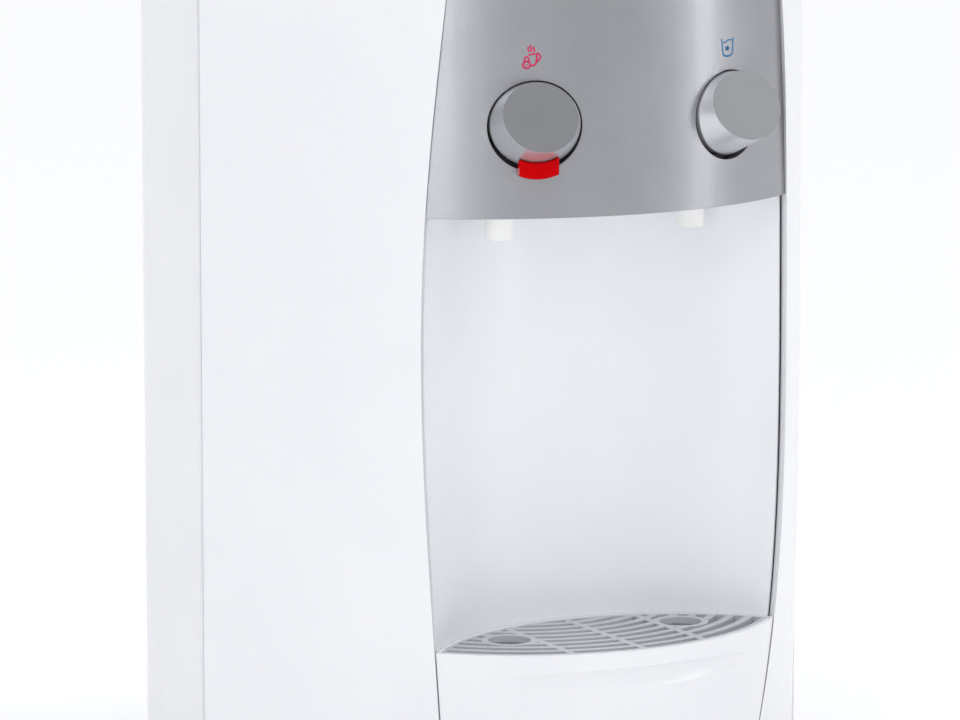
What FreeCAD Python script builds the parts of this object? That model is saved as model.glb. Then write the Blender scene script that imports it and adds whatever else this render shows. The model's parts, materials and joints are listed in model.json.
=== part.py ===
import FreeCAD, Part
import math
import os
import re
import Sketcher
from FreeCAD import Placement, Rotation, Vector

# Countertop water dispenser: a bottle-fed cabinet with a hot and a cold tap over an open alcove.
# X runs across the front, -Y is the front and +Z is up. The origin is under the middle of the base.

SIZES = {
    # cabinet
    "body_width": 310, "body_depth": 255.4, "body_height": 430, "wall": 3, "part_gap": 0.4,
    "foot_height": 7, "foot_radius": 12, "foot_x": 105, "foot_front_y": -42, "foot_back_y": 72,
    "base_thick": 3, "top_height": 14, "top_round": 8,
    "back_corner": 86, "seam_back": 92.5, "seam_step": 1.2, "seam_gap": 0.3,
    # nose of the front cover
    "cheek_radius": 400, "nose_reach": 33, "knee_half": 78, "knee_round": 25, "bow_radius": 700,
    "bow_low": 181.5, "bow_high": 330,
    # barrel-shaped front opening
    "opening_half": 92.5, "barrel_radius": 1450, "barrel_z": 228, "barrel_rise": 182,
    # control panel
    "panel_z": 290, "panel_margin": 1.2, "panel_radius": 152.2, "panel_thick": 3, "panel_fit": 0.4,
    # alcove and drip tray
    "alcove_deep": 41, "liner_thick": 2.5, "tray_reach": 38.2,
    "tray_top": 98.3, "tray_tall": 51.4, "tray_wall": 2.2, "tray_floor": 2.5, "tray_fit": 0.6,
    "scoop_deep": 3.6, "scoop_radius": 7, "scoop_drop": 13, "scoop_half": 80,
    "grille_thick": 3, "slot_wide": 4.6, "slot_pitch": 8.3, "rib_wide": 3.4, "rib_spacing": 33,
    "cup_hole_x": 43.8, "cup_hole_y": 9.3, "cup_hole_radius": 9.5, "cup_ring": 3.2,
    # taps
    "tap_x": 48.4, "tap_y": 10.6, "nozzle_radius": 6.25, "nozzle_bore": 3.5, "nozzle_drop": 12.75,
    "nozzle_long": 24, "valve_radius": 9, "valve_tall": 52,
    # buttons
    "button_x": 48.6, "button_rise": 40.2, "hole_half": 19.8, "hole_stretch": 1.055,
    "button_half": 18.4, "button_stretch": 1.08, "face_half": 15.63, "face_stretch": 1.129,
    "face_lift": 4.1, "face_in": 0.46, "face_tilt": 21.4, "face_yaw": 14.7, "button_proud": 10.5,
    "button_lift": 0.8, "button_skirt": 12, "button_wall": 1.8, "button_travel": 4,
    "guide_gap": 0.4, "guide_wall": 2.4, "guide_deep": 22, "rod_radius": 2.4, "rod_gap": 0.1,
    "spring_wire": 1.0, "spring_radius": 6, "spring_turns": 5,
    # child lock
    "lock_wide": 17.4, "lock_in": 0.7, "lock_outer": 22.4, "lock_inner": 13, "lock_proud": 6, "lock_gap": 0.4,
    "lock_stem_wide": 8, "lock_stem_thick": 1.2, "lock_travel": 1.5,
    # bottle seat and cold side
    "tank_y": 4, "collar_mouth": 100, "collar_neck": 34, "collar_deep": 26, "collar_lip": 4,
    "probe_radius": 9, "probe_bore": 6, "probe_rise": 36, "cold_radius": 70, "cold_tall": 88,
    "cold_wall": 1.5, "cold_low": 306, "foam": 11, "fan_size": 80, "fan_thick": 15, "sink_wide": 96,
    "sink_tall": 84, "sink_base": 4, "fin_tall": 11, "fin_thick": 1.5, "fin_pitch": 6, "block_side": 40,
    "peltier_thick": 4, "fan_axle": 3, "hub_radius": 15, "blade_count": 7,
    # hot side
    "hot_x": -42, "hot_y": 38, "hot_radius": 42, "hot_tall": 112, "hot_low": 112, "hot_wall": 0.8,
    "hot_foam": 9, "heater_tall": 26,
    # tubes
    "tube_radius": 4, "tube_bore": 2.6, "bend_radius": 14, "feed_x": 22, "tube_z": 316,
    # electrics
    "board_x": 74, "board_y": -6, "board_wide": 96, "board_tall": 110, "board_thick": 1.6, "board_low": 110,
    "inlet_x": 30, "inlet_z": 48, "inlet_wide": 27, "inlet_tall": 20, "inlet_deep": 22,
    "switch_x": 0, "switch_z": 86, "switch_pitch": 40, "switch_wide": 14, "switch_tall": 21,
    "switch_deep": 16, "rocker_tilt": 10,
    "drain_x": -42, "drain_z": 48, "drain_radius": 9,
    # vents, screws and carriers
    "vent_wide": 76, "vent_tall": 3.4, "vent_pitch": 8, "vent_rows": 9, "vent_low": 130,
    "screw_x": 46, "screw_in": 12, "screw_head": 3.5, "screw_shank": 1.6, "screw_sink": 1.6,
    "screw_long": 9, "tab_wide": 112, "tab_thick": 3, "sheet_thick": 1.5,
}

doc = FreeCAD.newDocument("water_dispenser")
sheet = doc.addObject("Spreadsheet::Sheet", "Sizes")
for row, (alias, size) in enumerate(SIZES.items(), start=1):
    sheet.set(f"A{row}", alias)
    sheet.set(f"B{row}", str(size))
    sheet.setAlias(f"B{row}", alias)
doc.recompute()

NAME = re.compile(r"\b(" + "|".join(sorted(SIZES, key=len, reverse=True)) + r")\b")
nodes = []


def bound(text):
    """Turn an expression in the sheet's aliases into one that FreeCAD resolves."""
    return NAME.sub(r"Sizes.\1", str(text))


def value(text):
    """The number that an expression in the sheet's aliases gives now."""
    result = sheet.evalExpression(bound(text))
    return float(getattr(result, "Value", result))


def node(obj, name):
    """Name a finished sub-part; its label names its file."""
    obj.Label = name
    nodes.append(obj)
    return obj


# Places that several pieces share, as expressions. Depths in the front are counted back from the
# plane of the opening's edge.
OPEN_Y = "(tray_reach - body_depth / 2)"
BACK_Y = "(body_depth / 2)"
SEAM_Y = f"({OPEN_Y} + seam_back)"
SHELL_HALF = "(body_width / 2)"
COVER_HALF = "(body_width / 2 - seam_step)"
BASE_Z = "(foot_height + base_thick)"
WALL_LOW = f"({BASE_Z} + part_gap)"
TOP_LOW = "(body_height - top_height)"
WALL_TOP = f"({TOP_LOW} - part_gap)"
PANEL_HALF = "(opening_half - panel_margin)"
PANEL_ARC_Y = f"({OPEN_Y} + sqrt(panel_radius ^ 2 - {PANEL_HALF} ^ 2))"
BUTTON_Y = f"({PANEL_ARC_Y} - sqrt(panel_radius ^ 2 - button_x ^ 2))"
BUTTON_Z = "(panel_z + button_rise)"
BUTTON_TURN = "asin(button_x / panel_radius)"
DECK_TOP = "(panel_z + part_gap + liner_thick)"
TRAY_LOW = "(tray_top - tray_tall)"
SHELF_TOP = f"({TRAY_LOW} - part_gap)"
COLD_TOP = "(cold_low + cold_tall)"
FAN_Z = "(cold_low + cold_tall / 2)"
SCREW_ROWS = (f"({BASE_Z} + screw_in)", f"({TOP_LOW} - screw_in)")
LOCK_STEM_LOW = "(button_lift - button_half - lock_gap - lock_stem_thick)"
BARREL_LOW = "(barrel_z - barrel_rise)"
BARREL_TOP = "(barrel_z + barrel_rise)"


# ---------------------------------------------------------------- building blocks
def seat(obj, x="0", y="0", z="0", turn=None):
    """Bind an object's place, and its turn about its own rotation axis, to the sheet."""
    for axis, text in zip("xyz", (x, y, z)):
        obj.setExpression(f"Placement.Base.{axis}", bound(text))
    if turn is not None:
        obj.setExpression("Placement.Rotation.Angle", bound(turn))
    return obj


def cylinder(name, radius, height, x="0", y="0", z="0", along="Z"):
    obj = doc.addObject("Part::Cylinder", name)
    obj.setExpression("Radius", bound(radius))
    obj.setExpression("Height", bound(height))
    turn = {"Z": Rotation(), "Y": Rotation(Vector(1, 0, 0), -90), "X": Rotation(Vector(0, 1, 0), 90)}
    obj.Placement = Placement(Vector(), turn[along])
    return seat(obj, x, y, z)


def cone(name, low_radius, high_radius, height, x="0", y="0", z="0"):
    obj = doc.addObject("Part::Cone", name)
    obj.setExpression("Radius1", bound(low_radius))
    obj.setExpression("Radius2", bound(high_radius))
    obj.setExpression("Height", bound(height))
    return seat(obj, x, y, z)


def box(name, wide, deep, tall, x="0", y="0", z="0"):
    """A box centred on x, that starts at y and z."""
    obj = doc.addObject("Part::Box", name)
    for side, text in zip(("Length", "Width", "Height"), (wide, deep, tall)):
        obj.setExpression(side, bound(text))
    return seat(obj, f"({x}) - ({wide}) / 2", y, z)


def torus(name, ring, tube, x="0", y="0", z="0"):
    obj = doc.addObject("Part::Torus", name)
    obj.setExpression("Radius1", bound(ring))
    obj.setExpression("Radius2", bound(tube))
    return seat(obj, x, y, z)


def fuse(name, *shapes):
    obj = doc.addObject("Part::MultiFuse", name)
    obj.Shapes = list(shapes)
    return obj


def cut(name, base, *tools):
    obj = doc.addObject("Part::Cut", name)
    obj.Base = base
    obj.Tool = tools[0] if len(tools) == 1 else fuse(name + "_tools", *tools)
    return obj


def common(name, first, second):
    obj = doc.addObject("Part::Common", name)
    obj.Base = first
    obj.Tool = second
    return obj


def group(name, *shapes):
    """Several equal pieces that share one node, each a solid of its own."""
    obj = doc.addObject("Part::Compound", name)
    obj.Links = list(shapes)
    return obj


def feature(name, shape):
    """A shape made with Part's own functions; it brings its own placement."""
    obj = doc.addObject("Part::Feature", name)
    obj.Shape = shape
    return obj


def new_body(name):
    return doc.addObject("PartDesign::Body", name)


def sketch_on(body, plane, offset="0"):
    """A sketch on one of the body's own origin planes, moved along the plane's normal."""
    sketch = body.newObject("Sketcher::SketchObject", body.Name + "_sketch")
    support = next(item for item in body.Origin.OriginFeatures if item.Role == plane)
    sketch.AttachmentSupport = [(support, "")]
    sketch.MapMode = "FlatFace"
    sketch.setExpression("AttachmentOffset.Base.z", bound(offset))
    return sketch


def hold(sketch, kind, *where, size):
    """Add a dimension and bind it to the sheet."""
    index = sketch.addConstraint(Sketcher.Constraint(kind, *where, value(size)))
    sketch.setExpression(f"Constraints[{index}]", bound(size))


def outline(sketch, corners):
    """Close an outline through corners (x, y) or (x, y, radius).

    The edge that leaves a corner with a radius is an arc: positive radii turn to the left,
    negative ones to the right.
    """
    points = [Vector(value(corner[0]), value(corner[1])) for corner in corners]
    first = sketch.GeometryCount
    ends = []
    for number, corner in enumerate(corners):
        start, end = points[number], points[(number + 1) % len(points)]
        if len(corner) == 2:
            sketch.addGeometry(Part.LineSegment(start, end))
            ends.append((1, 2))
            continue
        radius = value(corner[2])
        half = (end - start) * 0.5
        across = Vector(-half.y, half.x).normalize() * math.copysign(1, radius)
        centre = start + half + across * math.sqrt(radius ** 2 - half.Length ** 2)
        angles = [math.atan2(point.y - centre.y, point.x - centre.x) for point in (start, end)]
        if radius < 0:
            angles.reverse()
        if angles[1] < angles[0]:
            angles[1] += 2 * math.pi
        circle = Part.Circle(centre, Vector(0, 0, 1), abs(radius))
        sketch.addGeometry(Part.ArcOfCircle(circle, *angles))
        ends.append((1, 2) if radius > 0 else (2, 1))
    for number, corner in enumerate(corners):
        following = (number + 1) % len(corners)
        this, after = first + number, first + following
        sketch.addConstraint(Sketcher.Constraint("Coincident", this, ends[number][1],
                                                 after, ends[following][0]))
        hold(sketch, "DistanceX", this, ends[number][0], size=corner[0])
        hold(sketch, "DistanceY", this, ends[number][0], size=corner[1])
        if len(corner) == 3:
            hold(sketch, "Radius", this, size=f"abs({corner[2]})")


def circle_in(sketch, radius, x="0", y="0"):
    index = sketch.addGeometry(Part.Circle(Vector(value(x), value(y)), Vector(0, 0, 1), value(radius)))
    hold(sketch, "DistanceX", index, 3, size=x)
    hold(sketch, "DistanceY", index, 3, size=y)
    hold(sketch, "Radius", index, size=radius)


def oblong(wide, tall, x="0", y="0"):
    """Corners of an upright rectangle centred on x and y."""
    return [(f"{x} - ({wide}) / 2", f"{y} - ({tall}) / 2"), (f"{x} + ({wide}) / 2", f"{y} - ({tall}) / 2"),
            (f"{x} + ({wide}) / 2", f"{y} + ({tall}) / 2"), (f"{x} - ({wide}) / 2", f"{y} + ({tall}) / 2")]


def pad(body, sketch, length, midplane=False, upward=True):
    solid = body.newObject("PartDesign::Pad", body.Name + "_pad")
    solid.Profile = sketch
    solid.setExpression("Length", bound(length))
    solid.Midplane = midplane
    solid.Reversed = not upward
    doc.recompute()
    return solid


def pocket(body, sketch, length, flipped=False, midplane=False):
    """Cut a sketch out of the body, and make sure that it took something away."""
    before = body.Shape.Volume
    hollow = body.newObject("PartDesign::Pocket", body.Name + "_pocket")
    hollow.Profile = sketch
    hollow.setExpression("Length", bound(length))
    hollow.Reversed = flipped
    hollow.Midplane = midplane
    doc.recompute()
    assert body.Shape.Volume < before - 1e-6, f"{body.Name}: a pocket cuts nothing"
    return hollow


def revolve(body, sketch):
    solid = body.newObject("PartDesign::Revolution", body.Name + "_turned")
    solid.Profile = sketch
    solid.ReferenceAxis = (sketch, ["V_Axis"])
    solid.Angle = 360
    doc.recompute()
    return solid


def turned(name, profile):
    """A piece turned about a vertical axis from corners (radius, height)."""
    body = new_body(name)
    sketch = sketch_on(body, "XZ_Plane")
    outline(sketch, profile)
    revolve(body, sketch)
    return body


def repeat(body, original, axis, length, count):
    """Repeat a feature in a row and make the row the body's tip."""
    row = body.newObject("PartDesign::LinearPattern", body.Name + "_row")
    row.Originals = [original]
    support = next(item for item in body.Origin.OriginFeatures if item.Role == axis)
    row.Direction = (support, [""])
    row.setExpression("Length", bound(length))
    row.Occurrences = count
    body.Tip = row
    doc.recompute()
    return row


# ---------------------------------------------------------------- the bowed front
def bow(z):
    """How far the nose falls back above and below its straight middle."""
    below, above = value("bow_low") - z, z - value("bow_high")
    return max(below, above, 0) ** 2 / (2 * value("bow_radius"))


def opening_half(z):
    """Half the width of the barrel-shaped opening at a height."""
    radius = value("barrel_radius")
    return value("opening_half") - radius + math.sqrt(radius ** 2 - (z - value("barrel_z")) ** 2)


def cheek_circle():
    """Centre, from the opening plane, of the arc through the opening's edge and the seam."""
    start = Vector(value("opening_half"), 0)
    chord = Vector(value(COVER_HALF), value("seam_back")) - start
    inward = Vector(-chord.y, chord.x).normalize()
    return start + chord / 2 + inward * math.sqrt(value("cheek_radius") ** 2 - (chord.Length / 2) ** 2)


def front_circle(reach, half, back):
    """Centre and radius of the arc across the nose that passes the middle and both knees."""
    rise = reach - back
    radius = (half ** 2 + rise ** 2) / (2 * rise)
    return Vector(0, radius - reach), radius


def meet(first, first_radius, second, second_radius):
    """The crossing of two circles that lies furthest forward."""
    line = second - first
    along = (first_radius ** 2 - second_radius ** 2 + line.Length ** 2) / (2 * line.Length)
    across = math.sqrt(first_radius ** 2 - along ** 2)
    foot = first + line / line.Length * along
    aside = Vector(-line.y, line.x).normalize() * across
    return min((foot + aside, foot - aside), key=lambda point: point.y)


def nose_outline(z, inset, past_seam=0.0):
    """The cover's plan at a height, set in by a wall, as arcs that share their end points."""
    cheek, cheek_radius = cheek_circle(), value("cheek_radius")
    knee_back = cheek.y - math.sqrt(cheek_radius ** 2 - (value("knee_half") - cheek.x) ** 2)
    nose, nose_radius = front_circle(value("nose_reach"), value("knee_half"), -knee_back)
    seam_y = value("seam_back") + past_seam

    def on_cheek(y):
        return Vector(cheek.x + math.sqrt((cheek_radius - inset) ** 2 - (y - cheek.y) ** 2), y)

    rounding = meet(cheek, cheek_radius - value("knee_round"), nose, nose_radius - value("knee_round"))
    from_cheek, from_nose = (rounding - cheek).normalize(), (rounding - nose).normalize()
    knee_side = cheek + from_cheek * (cheek_radius - inset)
    knee_front = nose + from_nose * (nose_radius - inset)
    knee = rounding + (from_cheek + from_nose).normalize() * (value("knee_round") - inset)
    seam = on_cheek(seam_y)
    middle = on_cheek((seam_y + knee_side.y) / 2)
    tip = Vector(0, nose.y - nose_radius + inset)
    shrink = 1 - bow(z) / value("seam_back")

    def lay(point, side=1):
        y = value("seam_back") - (value("seam_back") - point.y) * shrink
        return Vector(side * point.x, value(OPEN_Y) + y, z)

    return [Part.Arc(lay(seam, -1), lay(middle, -1), lay(knee_side, -1)).toShape(),
            Part.Arc(lay(knee_side, -1), lay(knee, -1), lay(knee_front, -1)).toShape(),
            Part.Arc(lay(knee_front, -1), lay(tip), lay(knee_front)).toShape(),
            Part.Arc(lay(knee_front), lay(knee), lay(knee_side)).toShape(),
            Part.Arc(lay(knee_side), lay(middle), lay(seam)).toShape(),
            Part.LineSegment(lay(seam), lay(seam, -1)).toShape()]


def levels(low, high, count):
    return [low + (high - low) * step / (count - 1) for step in range(count)]


def loft(wires):
    return Part.makeLoft([Part.Wire(edges) for edges in wires], True, False)


def nose_loft(name, low, high, inset="0", past_seam="0"):
    heights = levels(value(low), value(high), 8)
    return feature(name, loft([nose_outline(z, value(inset), value(past_seam)) for z in heights]))


def barrel(name, inset, low_y, long, low=BARREL_LOW, high=BARREL_TOP):
    """A bar with the opening's barrel shape in front view, along Y."""
    body = new_body(name)
    sketch = sketch_on(body, "XZ_Plane", f"-({low_y})")
    radius = f"(barrel_radius - ({inset}))"

    def half(z):
        return f"(opening_half - barrel_radius + sqrt({radius} ^ 2 - (({z}) - barrel_z) ^ 2))"

    outline(sketch, [(f"-{half(low)}", low), (half(low), low, radius), (half(high), high),
                     (f"-{half(high)}", high, radius)])
    pad(body, sketch, long, upward=False)
    return body


def front_cover():
    shell = cut("front_shell", nose_loft("nose_outside", WALL_LOW, WALL_TOP),
                nose_loft("nose_inside", f"{WALL_LOW} - wall", f"{WALL_TOP} + wall", "wall", "wall"))
    doc.recompute()
    opening = barrel("front_opening", "0", f"{OPEN_Y} - 2 * tray_reach", "2 * tray_reach + seam_back")
    node(cut("front_cover_solid", shell, opening), "front_cover")


front_cover()


def back_outline(inset, front_y):
    """The rear shell's plan as a band's one side, from front left round the back to front right."""
    half = f"({SHELL_HALF} - ({inset}))"
    flat = f"({SHELL_HALF} - back_corner)"
    turn_y = f"({BACK_Y} - back_corner)"
    return [(f"-{half}", front_y), (f"-{half}", turn_y, "-(back_corner - (%s))" % inset),
            (f"-{flat}", f"{BACK_Y} - ({inset})"),
            (flat, f"{BACK_Y} - ({inset})", "-(back_corner - (%s))" % inset),
            (half, turn_y), (half, front_y)]


def rear_shell():
    body = new_body("rear_shell_body")
    front_y = f"({SEAM_Y} + seam_gap)"
    outer = back_outline("0", front_y)
    inner = back_outline("wall", front_y)[::-1]
    inner = [corner[:2] for corner in inner]
    inner[1] += ("back_corner - wall",)
    inner[3] += ("back_corner - wall",)
    sketch = sketch_on(body, "XY_Plane", WALL_LOW)
    outline(sketch, outer + inner)
    pad(body, sketch, f"{WALL_TOP} - {WALL_LOW}")

    def back_hole(corners):
        hole = sketch_on(body, "XZ_Plane", f"-{BACK_Y}")
        outline(hole, corners)
        return pocket(body, hole, "2 * wall", flipped=True)

    back_hole(oblong("inlet_wide + 2 * part_gap", "inlet_tall + 2 * part_gap", "inlet_x", "inlet_z"))
    for side in (-1, 1):
        back_hole(oblong("switch_wide", "switch_tall", f"switch_x + {side} * switch_pitch / 2", "switch_z"))
    round_hole = sketch_on(body, "XZ_Plane", f"-{BACK_Y}")
    circle_in(round_hole, "drain_radius + part_gap", "drain_x", "drain_z")
    pocket(body, round_hole, "2 * wall", flipped=True)
    for low in (f"{FAN_Z} - fan_size / 2 + vent_tall", "vent_low"):
        slot = back_hole(oblong("vent_wide", "vent_tall", "0", low))
        repeat(body, slot, "Z_Axis", "vent_pitch * (vent_rows - 1)", int(SIZES["vent_rows"]))
    for height in SCREW_ROWS:
        screw_holes = sketch_on(body, "XZ_Plane", f"-{BACK_Y}")
        for side in (-1, 1):
            circle_in(screw_holes, "screw_head + part_gap", f"{side} * screw_x", height)
        pocket(body, screw_holes, "screw_sink", flipped=True)
        screw_holes = sketch_on(body, "XZ_Plane", f"-{BACK_Y}")
        for side in (-1, 1):
            circle_in(screw_holes, "screw_shank + part_gap / 2", f"{side} * screw_x", height)
        pocket(body, screw_holes, "2 * wall", flipped=True)
    node(body, "rear_shell")


rear_shell()


def cabinet_plan(z, inset, stepped=True):
    """The whole cabinet's plan at a height: nose, cheeks, seam steps and rounded back."""
    cheeks = nose_outline(z, inset)[:-1]
    half, turn_y = value(SHELL_HALF) - inset, value(BACK_Y) - value("back_corner")
    flat, radius = value(SHELL_HALF) - value("back_corner"), value("back_corner") - inset
    step_y = value(SEAM_Y)
    left, right = cheeks[0].Vertexes[0].Point, cheeks[-1].Vertexes[1].Point
    slant = radius * math.sqrt(0.5)

    def at(x, y):
        return Vector(x, y, z)

    right_side = [right, at(half, step_y), at(half, turn_y)]
    left_side = [at(-half, turn_y), at(-half, step_y), left]
    if not stepped:
        del right_side[1], left_side[1]
    back = [Part.makePolygon(right_side),
            Part.Arc(at(half, turn_y), at(flat + slant, turn_y + slant), at(flat, turn_y + radius)).toShape(),
            Part.LineSegment(at(flat, turn_y + radius), at(-flat, turn_y + radius)).toShape(),
            Part.Arc(at(-flat, turn_y + radius), at(-flat - slant, turn_y + slant),
                     at(-half, turn_y)).toShape(),
            Part.makePolygon(left_side)]
    return Part.Wire(cheeks + back)


def slab(z, inset, thick, stepped=True):
    return Part.Face(cabinet_plan(z, inset, stepped)).extrude(Vector(0, 0, thick))


def base_and_feet():
    low, wall, gap = value("foot_height"), value("wall"), value("part_gap")
    plate = slab(low, 0, value("base_thick"))
    rim = slab(value(BASE_Z), wall + gap, 2 * wall).cut(slab(value(BASE_Z), 2 * wall + gap, 2 * wall))
    tray = feature("base_sheet", plate.fuse(rim).removeSplitter())
    tab = box("base_tab", "tab_wide", "tab_thick", "2 * screw_in", "0",
              f"{BACK_Y} - wall - part_gap - tab_thick", f"{BASE_Z} - 1")
    bores = [cylinder(f"base_tab_bore_{side}", "screw_shank", "4 * wall", f"{side} * screw_x",
                      f"{BACK_Y} - 3 * wall", SCREW_ROWS[0], "Y") for side in (-1, 1)]
    spots = [(side, f"{side} * foot_x", end) for side in (-1, 1) for end in ("foot_front_y", "foot_back_y")]
    holes = [cylinder(f"base_hole_{number}", "screw_shank", "3 * base_thick", x, y, "foot_height - 1")
             for number, (side, x, y) in enumerate(spots)]
    node(cut("base_plate_solid", fuse("base_with_tab", tray, tab), *bores, *holes), "base_plate")
    for side, x, y in spots:
        name = f"foot_{'left' if side < 0 else 'right'}_{'front' if y == 'foot_front_y' else 'back'}"
        foot = cut(name + "_solid", cone(name + "_body", "foot_radius - 1.5", "foot_radius", "foot_height", x,
                                         y),
                   cylinder(name + "_bore", "screw_shank", "foot_height", x, y),
                   cylinder(name + "_sink", "screw_head + part_gap", "foot_height / 2", x, y))
        node(foot, name)
    screws = [fuse(f"foot_screw_{number}",
                   cylinder(f"foot_screw_head_{number}", "screw_head", "screw_sink + 1", x, y,
                            "foot_height / 2 - screw_sink - 1"),
                   cylinder(f"foot_screw_shank_{number}", "screw_shank", "foot_height / 2 + base_thick", x, y,
                            "foot_height / 2"))
              for number, (side, x, y) in enumerate(spots)]
    node(group("foot_screws_group", *screws), "foot_screws")


def top_cover():
    low, tall, wall = value(TOP_LOW), value("top_height"), value("wall")
    outside = slab(low, 0, tall, stepped=False)
    rim = [edge for edge in outside.Edges
           if all(abs(vertex.Z - low - tall) < 1e-6 for vertex in edge.Vertexes)]
    outside = outside.makeFillet(value("top_round"), rim)
    lid = feature("lid_outside", outside)
    hollow = feature("lid_inside", slab(low - wall, wall, tall, stepped=False))
    mouth = cylinder("lid_mouth", "collar_mouth + part_gap", "2 * top_height", "0", "tank_y", TOP_LOW)
    tab = box("lid_tab", "tab_wide", "tab_thick", "2 * screw_in + top_height - wall + 1", "0",
              f"{BACK_Y} - wall - part_gap - tab_thick", f"{TOP_LOW} - 2 * screw_in")
    bores = [cylinder(f"lid_tab_bore_{side}", "screw_shank", "4 * wall", f"{side} * screw_x",
                      f"{BACK_Y} - 3 * wall", SCREW_ROWS[1], "Y") for side in (-1, 1)]
    node(cut("top_cover_solid", fuse("lid_with_tab", cut("lid_shell", lid, hollow), tab), mouth, *bores),
         "top_cover")


def case_screws():
    screws = []
    for number, (side, height) in enumerate((side, height) for side in (-1, 1) for height in SCREW_ROWS):
        x = f"{side} * screw_x"
        head = cylinder(f"case_screw_head_{number}", "screw_head", "screw_sink - part_gap", x,
                        f"{BACK_Y} - screw_sink", height, "Y")
        shank = cylinder(f"case_screw_shank_{number}", "screw_shank", "screw_long", x,
                         f"{BACK_Y} - screw_sink - screw_long", height, "Y")
        screws.append(fuse(f"case_screw_{number}", head, shank))
    node(group("case_screws_group", *screws), "case_screws")


base_and_feet()
top_cover()
case_screws()


# ---------------------------------------------------------------- control panel and alcove
def panel_band(name, inner_y, thick, low, high):
    """A bowed plate that follows the panel's arc, set back from it, as a pad between two heights."""
    body = new_body(name)
    sketch = sketch_on(body, "XY_Plane", low)
    outer, inner = f"(panel_radius - ({inner_y}))", f"(panel_radius - ({inner_y}) - ({thick}))"
    half = f"({PANEL_HALF} + 2 * wall)"

    def rim(radius):
        return f"({PANEL_ARC_Y} - sqrt({radius} ^ 2 - {half} ^ 2))"

    outline(sketch, [(f"-{half}", rim(outer), outer), (half, rim(outer)),
                     (half, rim(inner), f"-{inner}"), (f"-{half}", rim(inner))])
    pad(body, sketch, f"({high}) - ({low})")
    return body


def local_frame(side):
    """The place and turn of a button's own axis: its origin is on the panel's surface."""
    return (f"{side} * button_x", BUTTON_Y, BUTTON_Z), f"{side} * {BUTTON_TURN}"


def settle(piece, side):
    """Put a piece that was modelled about a button's own axis in its place on the panel."""
    placed = group(piece.Name + "_placed", piece)
    place, turn = local_frame(side)
    placed.Placement = Placement(Vector(), Rotation(Vector(0, 0, 1), value(turn)))
    return seat(placed, *place, turn=turn)


def oval(name, wide, tall, proud, x="0", z="0", tilt="0", yaw="0"):
    """An ellipse across a button's axis; proud counts forward from the panel's surface.

    Tilt leans its top back, and yaw turns it about the upright."""
    obj = doc.addObject("Part::Ellipse", name)
    obj.setExpression("MajorRadius", bound(wide))
    obj.setExpression("MinorRadius", bound(tall))
    obj.Placement = Placement(Vector(), Rotation(Vector(0, 0, 1), value(yaw)) *
                              Rotation(Vector(1, 0, 0), 90 - value(tilt)))
    return seat(obj, x, f"-({proud})", z)


def oval_loft(name, *sections):
    """A ruled solid through ellipses (half width, half height, proud, x, z, tilt, yaw)."""
    obj = doc.addObject("Part::Loft", name)
    obj.Sections = [oval(f"{name}_{number}", *section) for number, section in enumerate(sections)]
    obj.Solid = True
    obj.Ruled = True
    return obj


def oval_bar(name, half, low, high, z="0", stretch="hole_stretch"):
    wide = f"({half}) * {stretch}"
    return oval_loft(name, (wide, half, low, "0", z), (wide, half, high, "0", z))


def button_hole(name, side):
    hole = oval_bar(name, "hole_half", "-3 * panel_thick", "3 * panel_thick")
    return settle(hole, side)


def lock_notch():
    """The notch below the hot button's hole, for the lock's stem."""
    notch = box("lock_notch", "lock_stem_wide + 2 * lock_gap", "6 * panel_thick", "hole_half / 2", "0",
                "-3 * panel_thick", f"{LOCK_STEM_LOW} - lock_travel - lock_gap")
    return settle(notch, -1)


def control_panel():
    plate = panel_band("panel_plate", "0", "panel_thick", "panel_z", BARREL_TOP)
    window = barrel("panel_window", "panel_fit", f"{OPEN_Y} - 2 * tray_reach", "2 * tray_reach + seam_back",
                    "panel_z", f"{BARREL_TOP} - panel_fit")
    shaped = common("panel_shaped", plate, window)
    notched = cut("panel_notched", shaped, lock_notch())
    for side, label in ((-1, "hot"), (1, "cold")):
        notched = cut(label + "_panel_cut", notched, button_hole(label + "_hole", side))
    node(notched, "control_panel")


def niche_outline(z, half, apex, front):
    """The alcove's plan at a height: an arc round the back, closed by a chord along the front."""
    y = value(OPEN_Y)
    ends = [Vector(side * half, y + front, z) for side in (-1, 1)]
    return [Part.Arc(ends[0], Vector(0, y + apex, z), ends[1]).toShape(),
            Part.LineSegment(ends[1], ends[0]).toShape()]


def edge_depth(z, half):
    """How far forward of the opening plane the cheek's skin lies at a half width and height."""
    cheek = cheek_circle()
    y = cheek.y - math.sqrt(value("cheek_radius") ** 2 - (half - cheek.x) ** 2)
    return value("seam_back") - (value("seam_back") - y) * (1 - bow(z) / value("seam_back"))


def niche_loft(low, high, grow, past_front):
    wires = []
    for z in levels(low, high, 6):
        half = opening_half(z) + value("part_gap") + grow
        front = edge_depth(z, opening_half(z))
        wires.append(niche_outline(z, half, value("alcove_deep") + grow, front - past_front))
    return loft(wires)


def alcove_liner():
    low, high, thick = value(SHELF_TOP), value("panel_z"), value("liner_thick")
    outside = niche_loft(low, high, thick, 0)
    inside = niche_loft(low - 1, high + 1, 0, 1)
    wall = feature("alcove_liner_wall", outside.cut(inside))
    node(common("alcove_liner_solid", wall, COVER_ROOM), "alcove_liner")


def front_plate(z, thick, reach, half, ends, apex):
    """A lens-shaped plate: the front arc passes the reach, the back arc passes the apex."""
    y = value(OPEN_Y)
    corners = [Vector(side * half, y + ends, z) for side in (-1, 1)]
    edges = [Part.Arc(corners[0], Vector(0, y - reach, z), corners[1]).toShape(),
             Part.Arc(corners[1], Vector(0, y + apex, z), corners[0]).toShape()]
    return Part.Face(Part.Wire(edges)).extrude(Vector(0, 0, thick))


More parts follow.
